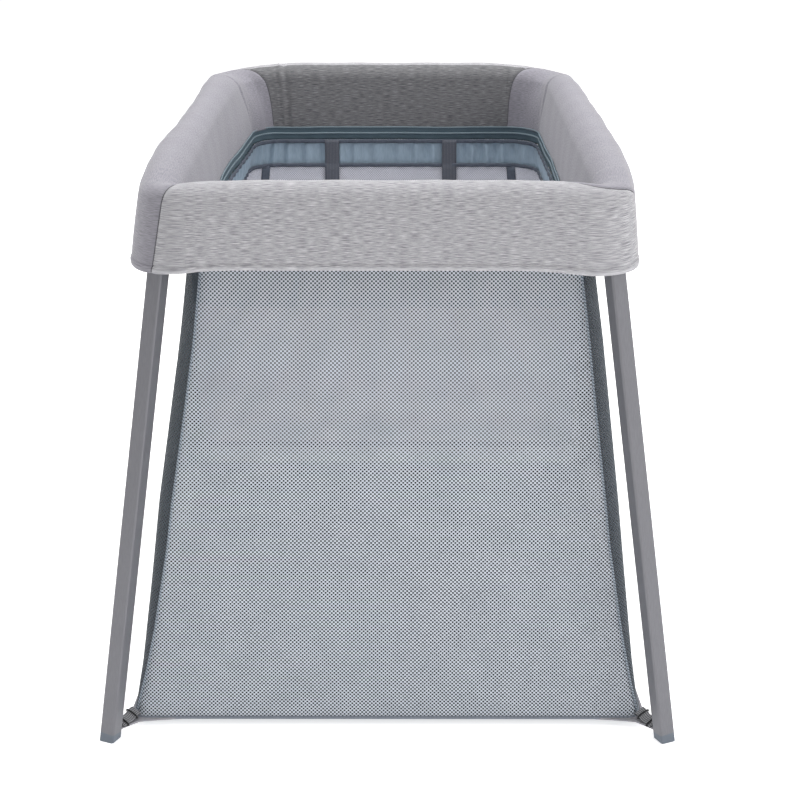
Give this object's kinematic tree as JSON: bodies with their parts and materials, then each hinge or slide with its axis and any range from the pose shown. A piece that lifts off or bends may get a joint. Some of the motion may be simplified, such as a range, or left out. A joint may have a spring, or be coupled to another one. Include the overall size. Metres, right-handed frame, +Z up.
{
  "type": "folding travel cot with zip-in bassinet",
  "caption": "Folding travel cot on splayed tube legs, with a padded rim, mesh walls and a mesh bassinet zipped in.",
  "frame": {"origin": "on the floor under the middle of the cot", "axes": "+X across the short ends to the right seen from the front, +Y along the cot from front to back, +Z up"},
  "size_m": [0.7842, 1.056, 0.765],
  "materials": {
    "leg_tube": "satin grey anodised",
    "rail_tube": "satin",
    "foot_plastic": "moulded",
    "black_plastic": "moulded",
    "steel": "plain",
    "button_plastic": "moulded",
    "melange_cover": "woven melange",
    "crib_mesh": "knitted mesh",
    "bassinet_mesh": "fine knitted mesh",
    "skirt_cloth": "gathered woven",
    "zip_tape": "woven tape",
    "zip_metal": "lacquered",
    "mattress_cloth": "quilted",
    "base_cloth": "woven",
    "webbing": "woven webbing"
  },
  "bodies": {
    "front_frame": {"front_left_leg": "leg_tube", "front_left_corner_fitting": "black_plastic", "front_right_leg": "leg_tube", "front_right_corner_fitting": "black_plastic", "front_feet": "foot_plastic", "front_end_rail": "rail_tube", "front_corner_pins": "steel", "front_leg_rivets": "steel", "front_rim_cover": "melange_cover", "front_rim_corners": "melange_cover", "front_mesh_panel": "crib_mesh", "front_base_straps": "webbing", "front_strap_loops": "black_plastic", "left_mesh_panel": "crib_mesh", "right_mesh_panel": "crib_mesh", "base_panel": "base_cloth", "rim_zip_tape": "zip_tape"},
    "left_front_half": {"left_front_rail": "rail_tube", "left_front_rail_end": "black_plastic", "left_front_rim_cover": "melange_cover", "left_hinge_fork": "black_plastic", "left_hinge_pin": "steel"},
    "left_rear_half": {"left_rear_rail": "rail_tube", "left_rear_rail_end": "black_plastic", "left_rear_rim_cover": "melange_cover", "left_hinge_tongue": "black_plastic"},
    "right_front_half": {"right_front_rail": "rail_tube", "right_front_rail_end": "black_plastic", "right_front_rim_cover": "melange_cover", "right_hinge_fork": "black_plastic", "right_hinge_pin": "steel"},
    "right_rear_half": {"right_rear_rail": "rail_tube", "right_rear_rail_end": "black_plastic", "right_rear_rim_cover": "melange_cover", "right_hinge_tongue": "black_plastic"},
    "back_frame": {"back_left_leg": "leg_tube", "back_left_corner_fitting": "black_plastic", "back_right_leg": "leg_tube", "back_right_corner_fitting": "black_plastic", "back_feet": "foot_plastic", "back_end_rail": "rail_tube", "back_corner_pins": "steel", "back_leg_rivets": "steel", "back_rim_cover": "melange_cover", "back_rim_corners": "melange_cover", "back_mesh_panel": "crib_mesh", "back_base_straps": "webbing", "back_strap_loops": "black_plastic"},
    "left_button": {"left_latch_button": "button_plastic"},
    "right_button": {"right_latch_button": "button_plastic"},
    "bassinet": {"bassinet_front_wall": "bassinet_mesh", "bassinet_back_wall": "bassinet_mesh", "bassinet_left_wall": "bassinet_mesh", "bassinet_right_wall": "bassinet_mesh", "bassinet_skirt": "skirt_cloth", "bassinet_zip_tape": "zip_tape", "bassinet_floor": "base_cloth", "bassinet_mattress": "mattress_cloth", "bassinet_slings": "webbing"},
    "zip_pull": {"zip_slider": "zip_metal"}
  },
  "joints": [
    {"name": "fold", "type": "hinge", "parent": "front_frame", "child": "left_front_half", "pos_m": [-0.295, -0.415, 0.722], "axis": [-1, 0, 0], "range_deg": [0, 80], "deforming": ["left_mesh_panel", "right_mesh_panel", "base_panel", "rim_zip_tape", "bassinet_front_wall", "bassinet_back_wall", "bassinet_left_wall", "bassinet_right_wall", "bassinet_skirt", "bassinet_zip_tape", "bassinet_floor", "bassinet_mattress", "bassinet_slings", "left_front_rim_cover", "left_rear_rim_cover", "right_front_rim_cover", "right_rear_rim_cover"]},
    {"name": "left_middle_hinge", "type": "hinge", "parent": "left_front_half", "child": "left_rear_half", "pos_m": [-0.295, 0, 0.738], "axis": [1, 0, 0], "range_deg": [0, 160]},
    {"name": "left_rear_pivot", "type": "hinge", "parent": "left_rear_half", "child": "back_frame", "pos_m": [-0.295, 0.415, 0.722], "axis": [-1, 0, 0], "range_deg": [0, 80]},
    {"name": "right_front_pivot", "type": "hinge", "parent": "front_frame", "child": "right_front_half", "pos_m": [0.295, -0.415, 0.722], "axis": [-1, 0, 0], "range_deg": [0, 80]},
    {"name": "right_rear_pivot", "type": "hinge", "parent": "back_frame", "child": "right_rear_half", "pos_m": [0.295, 0.415, 0.722], "axis": [1, 0, 0], "range_deg": [0, 80]},
    {"name": "left_release_button", "type": "slide", "parent": "left_front_half", "child": "left_button", "axis": [1, 0, 0], "range_m": [0, 0.004], "stiffness_N_per_m": 400},
    {"name": "right_release_button", "type": "slide", "parent": "right_front_half", "child": "right_button", "axis": [-1, 0, 0], "range_m": [0, 0.004], "stiffness_N_per_m": 400},
    {"name": "bassinet_lift", "type": "slide", "parent": "front_frame", "child": "bassinet", "axis": [0, 0, 1], "range_m": [0, 0.4]},
    {"name": "zip_slide", "type": "slide", "parent": "bassinet", "child": "zip_pull", "axis": [0, 1, 0], "range_m": [0, 0.76]}
  ],
  "couplings": [
    {"joint": "left_middle_hinge", "follows": "fold", "ratio": 2},
    {"joint": "left_rear_pivot", "follows": "fold", "ratio": 1},
    {"joint": "right_front_pivot", "follows": "fold", "ratio": 1},
    {"joint": "right_rear_pivot", "follows": "fold", "ratio": 1}
  ]
}
